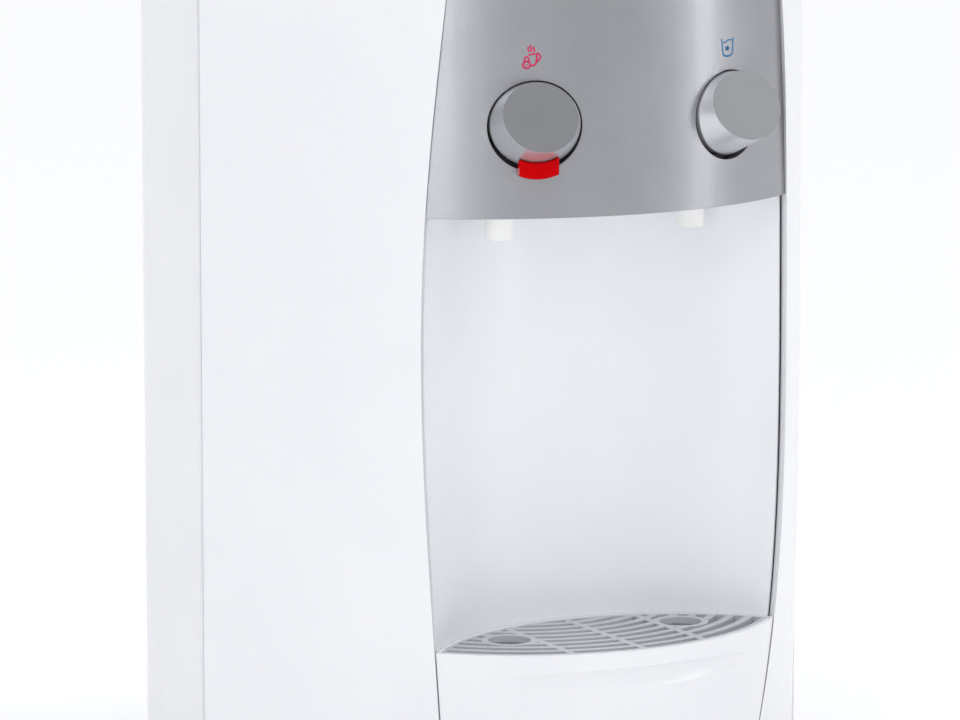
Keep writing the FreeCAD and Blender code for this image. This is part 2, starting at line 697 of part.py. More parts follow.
def tap_deck():
    """The ceiling of the alcove, behind the panel's lower edge, with a hole for each nozzle."""
    z = value("panel_z") + value("part_gap")
    inner = value("panel_radius") - value("panel_thick") - value("part_gap")
    half = value(PANEL_HALF) - value("panel_thick") - 1
    rise = inner - math.sqrt(inner ** 2 - half ** 2)
    ends = value(PANEL_ARC_Y) - value(OPEN_Y) - inner + rise
    plate = feature("tap_deck_plate", front_plate(z, value("liner_thick"), rise - ends, half, ends,
                                                  value("alcove_deep") + value("liner_thick")))
    holes = [cylinder(f"tap_deck_hole_{side}", "nozzle_radius + part_gap", "2 * liner_thick + part_gap",
                      f"{side} * tap_x", f"{OPEN_Y} + tap_y", "panel_z") for side in (-1, 1)]
    node(cut("tap_deck_solid", plate, *holes), "tap_deck")


def tray_shelf():
    z = value(SHELF_TOP) - value("liner_thick")
    half = opening_half(z) + value("wall")
    plate = front_plate(z, value("liner_thick"), value("nose_reach"), half, edge_depth(z, half),
                        value("alcove_deep") + value("liner_thick"))
    node(common("tray_shelf_solid", feature("tray_shelf_plate", plate), COVER_ROOM), "tray_shelf")


COVER_ROOM = nose_loft("cover_room", WALL_LOW, WALL_TOP, "wall + part_gap", "seam_back")
control_panel()
alcove_liner()
tap_deck()
tray_shelf()


# ---------------------------------------------------------------- drip tray and grille
def tray_outline(z, inset):
    """The tray's plan at a height: the bowed front, and a back that clears the alcove."""
    fit, fall = value("tray_fit"), bow(z) - bow(value("tray_top"))
    half = opening_half(z) - fit - inset
    ends = edge_depth(z, opening_half(z))
    y = value(OPEN_Y)
    corners = [Vector(side * half, y + ends, z) for side in (-1, 1)]
    tip = Vector(0, y - value("tray_reach") + fall + inset, z)
    back = Vector(0, y + value("alcove_deep") - fit - inset, z)
    return [Part.Arc(corners[0], tip, corners[1]).toShape(), Part.Arc(corners[1], back, corners[0]).toShape()]


def tray_front():
    """Centre, from the opening plane, and radius of the arc along the tray's upper front edge."""
    top = value("tray_top")
    half = opening_half(top)
    return front_circle(value("tray_reach"), half - value("tray_fit"), -edge_depth(top, half))


def tray_loft(low, high, inset):
    return loft([tray_outline(z, inset) for z in levels(low, high, 5)])


def drip_tray():
    low, top, floor = value(TRAY_LOW), value("tray_top"), value("tray_floor")
    wall, grille = value("tray_wall"), value("grille_thick")
    ledge_z = top - grille - value("part_gap")
    shell = tray_loft(low, top, 0).cut(tray_loft(low + floor, ledge_z + 1, 2 * wall))
    seat_cut = Part.Face(Part.Wire(tray_outline(ledge_z, wall))).extrude(Vector(0, 0, 2 * grille))
    tray = feature("tray_shell", shell.cut(seat_cut))
    reach, deep, half = value("tray_reach"), value("scoop_deep"), value("scoop_half")
    radius = tray_front()[1]
    side_fall = radius - math.sqrt(radius ** 2 - half ** 2)
    inner = (half ** 2 + (side_fall - deep) ** 2) / (2 * (side_fall - deep))
    scoop = doc.addObject("Part::Torus", "tray_scoop")
    scoop.Radius1 = inner + value("scoop_radius")
    scoop.setExpression("Radius2", bound("scoop_radius"))
    seat(scoop, "0", f"{OPEN_Y} + {inner + deep - reach}", "tray_top - scoop_drop")
    node(cut("drip_tray_solid", tray, scoop), "drip_tray")


def drip_grille():
    """A plate in the tray's mouth, with arc slots along its front, ribs, and two ringed cup holes."""
    gap, wall = value("part_gap"), value("tray_wall")
    top, thick = value("tray_top"), value("grille_thick")
    low_z = top - thick - gap
    plate, field = [Part.Face(Part.Wire(tray_outline(low_z, inset))).extrude(Vector(0, 0, thick))
                    for inset in (wall + gap, wall + gap + value("rib_wide") / 2)]
    for shape in (plate, field):
        shape.translate(Vector(0, 0, gap))
    centre, front_radius = tray_front()
    slots = []
    radius = front_radius - wall - gap - value("rib_wide") / 2
    low = Vector(0, value(OPEN_Y) + centre.y, top - thick)
    while radius > front_radius - value("tray_reach") - value("alcove_deep"):
        ring = Part.makeCylinder(radius, thick, low)
        ring = ring.cut(Part.makeCylinder(radius - value("slot_wide"), thick, low))
        slots.append(ring)
        radius -= value("slot_pitch")
    cutter = slots[0].multiFuse(slots[1:]).common(field)
    ribs = [Part.makeBox(value("rib_wide"), value("body_depth"), thick,
                         Vector(x - value("rib_wide") / 2, -value("body_depth") / 2, top - thick))
            for x in (-value("rib_spacing"), 0, value("rib_spacing"))]
    rings, holes = [], []
    for side in (-1, 1):
        spot = Vector(side * value("cup_hole_x"), value(OPEN_Y) + value("cup_hole_y"), top - thick)
        rings.append(Part.makeCylinder(value("cup_hole_radius") + value("cup_ring"), thick, spot))
        holes.append(Part.makeCylinder(value("cup_hole_radius"), thick, spot))
    cutter = cutter.cut(ribs[0].multiFuse(ribs[1:] + rings))
    node(feature("drip_grille_solid", plate.cut(cutter.multiFuse(holes))), "drip_grille")


drip_tray()
drip_grille()


# ---------------------------------------------------------------- buttons, lock and taps
def button_cone(name, side, grow, wall="0", reach="0"):
    """The skewed cone of a button, from its skirt to its face, grown or thinned all round.

    The face leans back at the top and turns towards the middle of the cabinet."""
    base, face = f"(button_half + {grow} - {wall})", f"(face_half + {grow} - {wall})"
    wide_base, wide_face = f"({base} * button_stretch)", f"({face} * face_stretch)"
    face_skin = f"{wall} / (cos(face_tilt) * cos(face_yaw))"
    return oval_loft(name, (wide_base, base, f"-(button_skirt + {reach})", "0", "button_lift"),
                     (wide_base, base, "0", "0", "button_lift"),
                     (wide_face, face, f"button_proud - {face_skin}", f"-({side}) * face_in",
                      "button_lift + face_lift", "face_tilt", f"-({side}) * face_yaw"))


def coil(radius, wire, low, high, turns):
    """A compression spring along a button's axis, behind the panel's surface."""
    pitch = (high - low) / turns
    path = Part.makeHelix(pitch, high - low, radius)
    section = Part.Wire(Part.makeCircle(wire / 2, Vector(radius, 0, 0), Vector(0, 1, 0)))
    spring = Part.Wire(path.Edges).makePipeShell([section], True, True)
    spring.rotate(Vector(), Vector(1, 0, 0), -90)
    spring.translate(Vector(0, low, 0))
    return spring


def button_set(side, label):
    """A button, its guide behind the panel, its return spring and the rod that works the tap."""
    outside = button_cone(label + "_skin", side, "0")
    hollow = button_cone(label + "_hollow", side, "0", "button_wall", "1")
    boss = common(label + "_boss", button_cone(label + "_boss_limit", side, "0"),
                  cylinder(label + "_boss_bar", "rod_radius + button_wall", "button_skirt + 2 * button_proud",
                           "0", "-2 * button_proud", "0", "Y"))
    shell = cut(label + "_shell", outside, hollow)
    rod_bore = cylinder(label + "_boss_bore", "rod_radius + rod_gap", "button_skirt + button_proud",
                        "0", "0", "0", "Y")
    node(settle(cut(label + "_solid", fuse(label + "_cap", shell, boss), rod_bore), side), label)
    doc.recompute()

    sleeve = cut(label + "_guide_sleeve",
                 oval_bar(label + "_guide_outside", "button_half + guide_gap + guide_wall", "-guide_deep",
                          "-(panel_thick + guide_wall)", "button_lift", "button_stretch"),
                 oval_bar(label + "_guide_inside", "button_half + guide_gap", "-(guide_deep - guide_wall)",
                          "0", "button_lift", "button_stretch"))
    guide_tools = [cylinder(label + "_guide_bore", "rod_radius + rod_gap * 2", "guide_deep", "0",
                            "guide_deep / 2", "0", "Y")]
    if side < 0:
        guide_tools.append(box(label + "_guide_slot", "lock_stem_wide + 2 * lock_gap",
                               "guide_deep - guide_wall", "hole_half", "0", "0",
                               "-(button_half + hole_half - 4)"))
    node(settle(cut(label + "_guide_solid", sleeve, *guide_tools), side), label + "_guide")

    rod = cylinder(label + "_rod_solid", "rod_radius", "guide_deep", "0", "2", "0", "Y")
    node(settle(rod, side), label + "_push_rod")
    spring = feature(label + "_spring_solid",
                     coil(value("spring_radius"), value("spring_wire"), value("spring_wire"),
                          value("guide_deep - guide_wall - spring_wire"), value("spring_turns")))
    node(settle(spring, side), label + "_spring")


def child_lock():
    """A red tab below the hot button, on a stem that reaches back past the button's skirt."""
    disc = cylinder("lock_disc", "lock_outer", "lock_proud - lock_gap", "0", "-lock_proud", "0", "Y")
    strip = box("lock_strip", "lock_wide", "3 * lock_proud", "2 * lock_outer", "lock_in", "-2 * lock_proud",
                "-2 * lock_outer")
    core = cylinder("lock_core", "lock_inner", "3 * lock_proud", "0", "-2 * lock_proud", "0", "Y")
    tab = cut("lock_tab", common("lock_bar", disc, strip), core,
              button_cone("lock_clearance", -1, "lock_gap"))
    past_skirt = "(button_skirt + button_travel + lock_gap)"
    stem = box("lock_stem", "lock_stem_wide", f"{past_skirt} + 3", "lock_stem_thick", "0",
               "-2 * lock_gap - 1",
               LOCK_STEM_LOW)
    hook = box("lock_hook", "lock_stem_wide", "1.6", "2.6", "0", past_skirt, LOCK_STEM_LOW)
    node(settle(fuse("child_lock_solid", tab, stem, hook), -1), "child_lock_tab")


def tap(side, label):
    """A spring valve over a nozzle; the button's rod meets its plunger, a barb takes the tube."""
    x, y = f"{side} * tap_x", f"{OPEN_Y} + tap_y"
    low = "panel_z - nozzle_drop"
    spout = cut(label + "_nozzle_solid", cylinder(label + "_nozzle_body", "nozzle_radius", "nozzle_long", x,
                                                  y, low),
                cylinder(label + "_nozzle_hole", "nozzle_bore", "2 * nozzle_long", x, y, f"{low} - 1"))
    node(spout, label + "_nozzle")
    chest = cylinder(label + "_chest", "valve_radius", "valve_tall", x, y, f"{low} + nozzle_long")
    bore = cylinder(label + "_chest_bore", "nozzle_bore", "valve_tall / 2", x, y, f"{low} + nozzle_long - 1")
    plunger_y = "(guide_deep + part_gap)"
    plunger = cylinder(label + "_plunger_house", "valve_radius - 3", "15", "0", plunger_y, "0", "Y")
    rod_bore = cylinder(label + "_rod_bore", "rod_radius + part_gap", "button_travel + 7", "0",
                        f"{plunger_y} - 1", "0", "Y")
    if side < 0:
        barb = cylinder(label + "_barb", "tube_bore", "12", f"{x} - valve_radius - 11", y, "tube_z", "X")
    else:
        barb = cylinder(label + "_barb", "tube_bore", "12", x, f"{y} + valve_radius - 1", "tube_z", "Y")
    body = fuse(label + "_valve_body", chest, settle(plunger, side), barb)
    node(cut(label + "_valve_solid", body, bore, settle(rod_bore, side)), label + "_valve")


for side, label in ((-1, "hot"), (1, "cold")):
    button_set(side, label + "_button")
    tap(side, label)
child_lock()


# ---------------------------------------------------------------- bottle seat and cold side
def bottle_seat():
    mouth, neck, wall = "collar_mouth", "collar_neck", "wall"
    top, low = "body_height + collar_lip", "body_height - collar_deep"
    funnel = turned("collar_body", [
        (neck, low), (neck, f"{low} - 6"), (f"{neck} + {wall}", f"{low} - 6"),
        (f"{neck} + {wall}", f"{low} - {wall}"),
        (f"{mouth} - {wall}", "body_height - 6"), (mouth, "body_height - 6"),
        (mouth, "body_height + part_gap"),
        (f"{mouth} + 4", "body_height + part_gap"), (f"{mouth} + 4", top), (f"{mouth} - {wall}", top),
        (f"{mouth} - {wall} - 2", "body_height - 2")])
    node(seat(funnel, "0", "tank_y", "0"), "bottle_collar")
    foot = f"{COLD_TOP} + cold_wall + part_gap"
    probe = turned("probe_body", [
        ("probe_bore", foot), ("probe_radius + 10", foot), ("probe_radius + 10", f"{foot} + 2"),
        ("probe_radius", f"{foot} + 2"), ("probe_radius", f"{foot} + probe_rise - 8"),
        ("probe_bore - 2", f"{foot} + probe_rise"), ("probe_bore - 3.5", f"{foot} + probe_rise"),
        ("probe_bore", f"{foot} + probe_rise - 10")])
    node(seat(probe, "0", "tank_y", "0"), "bottle_probe")


def cold_side():
    low, wall = "cold_low", "cold_wall"
    inner = f"(cold_radius - {wall})"
    tank = turned("tank_body", [
        ("0", low), ("cold_radius", low), ("cold_radius", COLD_TOP), (inner, COLD_TOP),
        (inner, f"{low} + {wall}"),
        ("0", f"{low} + {wall}")])
    seat(tank, "0", "tank_y", "0")
    feed_hole = cylinder("tank_feed_hole", "tube_radius", "4 * cold_wall", "feed_x", "hot_y",
                         "cold_low - cold_wall")
    outlet = cylinder("tank_outlet", "tube_radius", "cold_radius", "tap_x", "tank_y - cold_radius", "tube_z",
                      "Y")
    node(cut("cold_tank_solid", tank, feed_hole, outlet), "cold_tank")
    lid = turned("lid_body", [("probe_bore", COLD_TOP), ("cold_radius", COLD_TOP),
                              ("cold_radius", f"{COLD_TOP} + {wall}"),
                              ("probe_bore", f"{COLD_TOP} + {wall}")])
    node(seat(lid, "0", "tank_y", "0"), "cold_tank_lid")
    jacket = turned("foam_body", [
        ("0", f"{low} - foam"), ("cold_radius + foam", f"{low} - foam"), ("cold_radius + foam", COLD_TOP),
        ("cold_radius + part_gap / 2", COLD_TOP), ("cold_radius + part_gap / 2", low), ("0", low)])
    seat(jacket, "0", "tank_y", "0")
    window = box("foam_window", "block_side + 2 * part_gap", "cold_radius + 2 * foam",
                 "block_side + 2 * part_gap",
                 "0", "tank_y", f"{FAN_Z} - block_side / 2 - part_gap")
    bores = [cylinder("foam_feed_bore", "tube_radius + part_gap", "3 * foam", "feed_x", "hot_y",
                      f"{low} - 2 * foam"),
             cylinder("foam_outlet_bore", "tube_radius + part_gap", "cold_radius", "tap_x",
                      "tank_y - cold_radius - foam", "tube_z", "Y")]
    bores += [cylinder(f"foam_valve_{side}", "valve_radius + part_gap", "2 * foam + valve_tall",
                       f"{side} * tap_x", f"{OPEN_Y} + tap_y", f"{low} - 2 * foam") for side in (-1, 1)]
    node(cut("cold_foam_solid", jacket, window, *bores), "cold_tank_insulation")


def cooling_stack():
    block_back = "(tank_y + cold_radius + foam + 5)"
    block = cut("block_solid",
                box("block_body", "block_side", f"{block_back} - tank_y - cold_radius + 6", "block_side", "0",
                    "tank_y + cold_radius - 6", f"{FAN_Z} - block_side / 2"),
                cylinder("block_hollow", "cold_radius", "2 * block_side", "0", "tank_y",
                         f"{FAN_Z} - block_side"))
    node(block, "cold_block")
    node(box("peltier_solid", "block_side", "peltier_thick", "block_side", "0", block_back,
             f"{FAN_Z} - block_side / 2"), "peltier_module")
    sink_y = f"({block_back} + peltier_thick)"
    body = new_body("sink_body")
    plate = sketch_on(body, "XY_Plane", f"{FAN_Z} - sink_tall / 2")
    outline(plate, oblong("sink_wide", "sink_base", "0", f"{sink_y} + sink_base / 2"))
    pad(body, plate, "sink_tall")
    fin = sketch_on(body, "XY_Plane", f"{FAN_Z} - sink_tall / 2")
    outline(fin, oblong("fin_thick", "sink_base + fin_tall", "fin_thick / 2 - sink_wide / 2",
                        f"{sink_y} + (sink_base + fin_tall) / 2"))
    first = pad(body, fin, "sink_tall")
    count = int((value("sink_wide") - value("fin_thick")) / value("fin_pitch")) + 1
    repeat(body, first, "X_Axis", "sink_wide - fin_thick", count)
    node(body, "heat_sink")

    fan_y = f"({sink_y} + sink_base + fin_tall + part_gap)"
    frame = cut("fan_frame",
                box("fan_block", "fan_size", "fan_thick", "fan_size", "0", fan_y, f"{FAN_Z} - fan_size / 2"),
                cylinder("fan_throat", "fan_size / 2 - 2", "2 * fan_thick", "0", f"{fan_y} - 1", FAN_Z, "Y"),
                *[cylinder(f"fan_hole_{x}_{z}", "2.1", "2 * fan_thick", f"{x} * (fan_size / 2 - 4.2)",
                           f"{fan_y} - 1",
                           f"{FAN_Z} + {z} * (fan_size / 2 - 4.2)", "Y") for x in (-1, 1) for z in (-1, 1)])
    back = f"({fan_y} + fan_thick - 2)"
    spokes = [box("fan_spoke_wide", "fan_size - 2", "2", "4", "0", back, f"{FAN_Z} - 2"),
              box("fan_spoke_tall", "4", "2", "fan_size - 2", "0", back, f"{FAN_Z} - fan_size / 2 + 1"),
              cylinder("fan_motor_seat", "hub_radius", "2", "0", back, FAN_Z, "Y")]
    axle = cylinder("fan_axle_pin", "fan_axle / 2", "fan_thick - 4", "0", f"{fan_y} + 2.5", FAN_Z, "Y")
    node(fuse("fan_housing_solid", frame, *spokes, axle), "fan_housing")

    hub = Part.makeCylinder(value("hub_radius"), value("fan_thick") - 5)
    tip, reach = value("fan_size") / 2 - 3.5, value("fan_thick") - 7
    blades = []
    for number in range(int(value("blade_count"))):
        blade = Part.makeBox(tip - value("hub_radius") + 2, 1.4, reach,
                             Vector(value("hub_radius") - 2, -0.7, 1))
        twist = Placement(Vector(), Rotation(Vector(1, 0, 0), 32), Vector(0, 0, reach / 2 + 1))
        blade = blade.transformGeometry(twist.toMatrix())
        blade.rotate(Vector(), Vector(0, 0, 1), 360 * number / value("blade_count"))
        blades.append(blade)
    band = Part.makeCylinder(tip, reach - 0.6, Vector(0, 0, 1.3))
    rotor = hub.fuse([blade.common(band) for blade in blades])
    rotor = rotor.cut(Part.makeCylinder(value("fan_axle / 2 + 0.05"), 2 * value("fan_thick"),
                                        Vector(0, 0, -1)))
    rotor.rotate(Vector(), Vector(1, 0, 0), -90)
    rotor.translate(Vector(0, value(f"{fan_y} + 1.5"), value(FAN_Z)))
    node(feature("fan_rotor_solid", rotor), "fan_rotor")


bottle_seat()
cold_side()
cooling_stack()


# ---------------------------------------------------------------- hot side and tubes
def tube(name, points):
    """A hose along straight runs joined by tangent arcs, as large as the shorter run allows."""
    path, start = [], points[0]
    for before, corner, after in zip(points, points[1:], points[2:]):
        back, ahead = before - corner, after - corner
        turn = math.pi - back.getAngle(ahead)
        room = 0.45 * min(back.Length, ahead.Length)
        radius = min(room / math.tan(turn / 2), 4 * value("tube_radius") + value("bend_radius"))
        trim = radius * math.tan(turn / 2)
        into = corner + back / back.Length * trim
        out = corner + ahead / ahead.Length * trim
        bisector = (back / back.Length + ahead / ahead.Length).normalize()
        centre = corner + bisector * (radius / math.cos(turn / 2))
        middle = centre - bisector * radius
        path.append(Part.LineSegment(start, into).toShape())
        path.append(Part.Arc(into, middle, out).toShape())
        start = out
    path.append(Part.LineSegment(start, points[-1]).toShape())
    line = Part.Wire(path)
    skins = []
    for radius in (value("tube_radius"), value("tube_bore")):
        section = Part.Wire(Part.makeCircle(radius, points[0], points[1] - points[0]))
        skins.append(line.makePipeShell([section], True, False))
    return node(feature(name + "_solid", skins[0].cut(skins[1])), name)


def point(x, y, z):
    return Vector(value(x), value(y), value(z))


def hot_side():
    low, top = "hot_low", "(hot_low + hot_tall)"
    inner = "(hot_radius - hot_wall)"
    tank = turned("boiler_body", [
        ("tube_bore", low), ("hot_radius", low), ("hot_radius", top), ("tube_bore", top),
        ("tube_bore", f"{top} - hot_wall"), (inner, f"{top} - hot_wall"), (inner, f"{low} + hot_wall"),
        ("tube_bore", f"{low} + hot_wall")])
    seat(tank, "hot_x", "hot_y", "0")
    inlet = cylinder("boiler_inlet", "tube_bore", "2 * hot_wall + 4", "hot_x + hot_radius - 4", "hot_y",
                     f"{low} + 12", "X")
    node(cut("hot_tank_solid", tank, inlet), "hot_tank")
    band_low = f"({low} + 22)"
    band = cut("heater_band_solid",
               cylinder("heater_band_outside", "hot_radius + 3", "heater_tall", "hot_x", "hot_y", band_low),
               cylinder("heater_band_inside", "hot_radius", "2 * heater_tall", "hot_x", "hot_y",
                        f"{band_low} - heater_tall / 2"),
               box("heater_band_split", "6", "hot_radius + 6", "2 * heater_tall", "hot_x",
                   "hot_y - hot_radius - 6",
                   f"{band_low} - heater_tall / 2"))
    node(band, "heater_band")
    jacket = turned("hot_foam_body", [
        ("tube_radius + part_gap", f"{low} - hot_foam"), ("hot_radius + hot_foam", f"{low} - hot_foam"),
        ("hot_radius + hot_foam", f"{top} + hot_foam"), ("tube_radius + part_gap", f"{top} + hot_foam"),
        ("tube_radius + part_gap", top), ("hot_radius + 3 + part_gap", top),
        ("hot_radius + 3 + part_gap", low),
        ("tube_radius + part_gap", low)])
    seat(jacket, "hot_x", "hot_y", "0")
    inlet_bore = cylinder("hot_foam_inlet", "tube_radius + part_gap", "3 * hot_foam",
                          "hot_x + hot_radius - hot_foam",
                          "hot_y", f"{low} + 12", "X")
    node(cut("hot_foam_solid", jacket, inlet_bore), "hot_tank_insulation")
    stand_low, stand_top = BASE_Z, f"({low} - hot_foam)"
    ring = cut("stand_ring",
               cylinder("stand_outside", "hot_radius", f"{stand_top} - {stand_low}", "hot_x", "hot_y",
                        stand_low),
               cylinder("stand_inside", "hot_radius - sheet_thick", f"2 * {stand_top}", "hot_x", "hot_y",
                        "0"),
               box("stand_window", "4 * tube_radius", "2 * hot_radius", "drain_z + 4 * tube_radius", "hot_x",
                   "hot_y", "0"))
    node(ring, "hot_tank_stand")

    tube("feed_tube", [point("feed_x", "hot_y", "cold_low"), point("feed_x", "hot_y", f"{low} + 12"),
                       point("hot_x + hot_radius", "hot_y", f"{low} + 12")])
    tube("hot_tube", [point("hot_x", "hot_y", top), point("hot_x", "hot_y", f"{top} + 38"),
                      point("hot_x - 56", "hot_y - 36", f"{top} + 46"),
                      point("hot_x - 54", "hot_y - 70", "tube_z"),
                      point("-tap_x - 34", f"{OPEN_Y} + tap_y", "tube_z"),
                      point("-tap_x - valve_radius - 2", f"{OPEN_Y} + tap_y", "tube_z")])
    tube("cold_tube", [point("tap_x", "tank_y - sqrt((cold_radius - cold_wall) ^ 2 - tap_x ^ 2)", "tube_z"),
                       point("tap_x", f"{OPEN_Y} + tap_y + valve_radius + 2", "tube_z")])
    tube("drain_tube", [point("hot_x", "hot_y", low), point("hot_x", "hot_y", "drain_z"),
                        point("drain_x", f"{BACK_Y} - wall - 6", "drain_z")])


hot_side()


# ---------------------------------------------------------------- electrics and rear fittings
def electrics():
    deep = "board_wide"
    board = box("board_sheet", "board_thick", deep, "board_tall", "board_x", "board_y", "board_low")
    node(board, "power_board")
    face = "(board_x + board_thick / 2)"
    parts = [box("board_transformer", "26", "36", "30", f"{face} + 13", "board_y + 8", "board_low + 8"),
             box("board_relay_hot", "15", "20", "16", f"{face} + 7.5", "board_y + 56", "board_low + 14"),
             box("board_relay_cold", "15", "20", "16", f"{face} + 7.5", "board_y + 56", "board_low + 40"),
             cylinder("board_capacitor", "8", "22", f"{face} + 8", "board_y + 24", "board_low + 54"),
             box("board_terminals", "10", "60", "12", f"{face} + 5", "board_y + 16", "board_low + 92")]
    node(group("board_parts_group", *parts), "board_components")
    stand = fuse("board_stand_solid",
                 box("board_stand_foot", "24", deep, "sheet_thick", "board_x - 10", "board_y", BASE_Z),
                 box("board_stand_leaf", "sheet_thick", deep, f"board_low + board_tall - {BASE_Z}",
                     "board_x - 8", "board_y", BASE_Z),
                 *[box(f"board_post_{y}_{z}", "8 - board_thick / 2", "5", "5",
                       "board_x - 8 / 2 - board_thick / 4",
                       f"board_y + {y} * board_wide - 2.5 + {1 - 2 * y} * 6",
                       f"board_low + {z} * board_tall - 2.5 + {1 - 2 * z} * 6")
                   for y in (0, 1) for z in (0, 1)])
    node(stand, "board_stand")

    face_y = f"({BACK_Y} - part_gap)"
    shell = cut("inlet_solid",
                box("inlet_block", "inlet_wide", "inlet_deep", "inlet_tall", "inlet_x",
                    f"{face_y} - inlet_deep",
                    "inlet_z - inlet_tall / 2"),
                box("inlet_cavity", "inlet_wide - 4", "inlet_deep - 4", "inlet_tall - 6", "inlet_x",
                    f"{face_y} - inlet_deep + 5", "inlet_z - inlet_tall / 2 + 3"))
    flange = box("inlet_flange", "inlet_wide + 8", "2.5", "inlet_tall + 8", "inlet_x",
                 f"{BACK_Y} - wall - part_gap / 2 - 2.5", "inlet_z - inlet_tall / 2 - 4")
    hollow = box("inlet_flange_hole", "inlet_wide - 4", "inlet_deep - 4", "inlet_tall - 6", "inlet_x",
                 f"{face_y} - inlet_deep + 5", "inlet_z - inlet_tall / 2 + 3")
    pins = [box(f"inlet_pin_{number}", "2", "15", "4", f"inlet_x + {x}", f"{face_y} - inlet_deep - 2",
                f"inlet_z - 2 + {z}") for number, (x, z) in enumerate(((-7, -1), (0, 1.5), (7, -1)))]
    holes = [box(f"inlet_pin_hole_{number}", "2", "15", "4", f"inlet_x + {x}", f"{face_y} - inlet_deep - 2",
                 f"inlet_z - 2 + {z}") for number, (x, z) in enumerate(((-7, -1), (0, 1.5), (7, -1)))]
    node(cut("mains_inlet_solid", fuse("inlet_with_flange", shell, flange), hollow, *holes), "mains_inlet")
    node(group("inlet_pins_group", *pins), "inlet_pins")


def rocker_switch(side, label):
    """A rocker that turns about a cross pin in its housing, below the level of the back."""
    x, gap = f"(switch_x + {side} * switch_pitch / 2)", "part_gap"
    face_y = f"({BACK_Y} - wall + 1.5)"
    pivot_y = f"({BACK_Y} - wall - 5)"
    body = box(label + "_switch_block", f"switch_wide - 2 * {gap}", "switch_deep", f"switch_tall - 2 * {gap}",
               x,
               f"{face_y} - switch_deep", f"switch_z - switch_tall / 2 + {gap}")
    flange = box(label + "_switch_flange", "switch_wide + 5", "2", "switch_tall + 6", x,
                 f"{BACK_Y} - wall - {gap} / 2 - 2", "switch_z - switch_tall / 2 - 3")
    well = box(label + "_switch_well", "switch_wide - 3.6", "switch_deep - 3", "switch_tall - 3.4", x,
               f"{face_y} - switch_deep + 4", "switch_z - switch_tall / 2 + 1.7")
    pin = cylinder(label + "_switch_pin", "1.2", "switch_wide - 3", f"{x} - (switch_wide - 3) / 2", pivot_y,
                   "switch_z", "X")
    node(fuse(label + "_switch_solid", cut(label + "_switch_case",
                                           fuse(label + "_switch_outside", body, flange), well),
              pin), label + "_switch_housing")
    half, reach = value("switch_tall / 2 - 3.1"), 6.6
    profile = [Vector(0, -3, -half * 0.55), Vector(0, 2, -half), Vector(0, reach, -half),
               Vector(0, reach - 1.3, 0),
               Vector(0, reach, half), Vector(0, 2, half), Vector(0, -3, half * 0.55)]
    width = value("switch_wide - 5")
    rocker = Part.Face(Part.makePolygon(profile + profile[:1])).extrude(Vector(width, 0, 0))
    rocker = rocker.cut(Part.makeCylinder(1.25, 2 * width, Vector(-width / 2, 0, 0), Vector(1, 0, 0)))
    rocker.rotate(Vector(), Vector(1, 0, 0), -value("rocker_tilt"))
    rocker.translate(Vector(value(x) - width / 2, value(pivot_y), value("switch_z")))
    node(feature(label + "_rocker_solid", rocker), label + "_switch_rocker")


def drain():
    """A spigot through the back with a screwed cap over its end."""
    y = f"({BACK_Y} - wall)"
    spigot = cut("drain_spigot_solid",
                 fuse("drain_spigot_body",
                      cylinder("drain_spigot_tube", "drain_radius - 3", "9", "drain_x", f"{y} - 9", "drain_z",
                               "Y"),
                      cylinder("drain_spigot_flange", "drain_radius + 3", "2", "drain_x", f"{y} - 2.2",
                               "drain_z", "Y")),
                 cylinder("drain_spigot_bore", "tube_bore", "20", "drain_x", f"{y} - 12", "drain_z", "Y"),
                 cylinder("drain_spigot_sink", "tube_radius", "3", "drain_x", f"{y} - 9", "drain_z", "Y"))
    node(spigot, "drain_spigot")
    cap = cut("drain_cap_solid",
              cylinder("drain_cap_disc", "drain_radius", "wall - part_gap", "drain_x", f"{y} + part_gap / 2",
                       "drain_z", "Y"),
              box("drain_cap_slot", "drain_radius * 1.2", "1.4", "2", "drain_x", f"{y} + wall - 1.4",
                  "drain_z - 1"))
    plug = cylinder("drain_cap_plug", "tube_bore - 0.1", "5", "drain_x", f"{y} - 4", "drain_z", "Y")
    node(fuse("drain_cap_with_plug", cap, plug), "drain_cap")


def tank_shelf():
    """The sheet that carries the cold tank above the alcove and the boiler."""
    z = "(cold_low - foam - sheet_thick)"
    sheet_plate = box("shelf_sheet", "176", "150", "sheet_thick", "0", "tank_y - 56", z)
    feed_hole = cylinder("shelf_feed_hole", "tube_radius + 1", "4 * sheet_thick", "feed_x", "hot_y",
                         f"{z} - sheet_thick")
    node(cut("shelf_solid", sheet_plate, feed_hole), "tank_shelf")


electrics()
for side, label in ((-1, "hot"), (1, "cold")):
    rocker_switch(side, label)
drain()
tank_shelf()


# ---------------------------------------------------------------- check and write
doc.recompute()
for obj in doc.Objects:
    assert not {"Invalid", "Error"} & set(obj.State), f"{obj.Name} failed to build"
for obj in nodes:
    assert not obj.Shape.isNull() and obj.Shape.isValid(), f"{obj.Label} has no valid shape"
os.makedirs("parts", exist_ok=True)
for obj in nodes:
    obj.Shape.exportStep(f"parts/{obj.Label}.step")
print(len(nodes), "sub-parts")
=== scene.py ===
"""Countertop water dispenser: finishes, printed icons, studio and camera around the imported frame."""
import json
from math import cos, radians, sin, sqrt

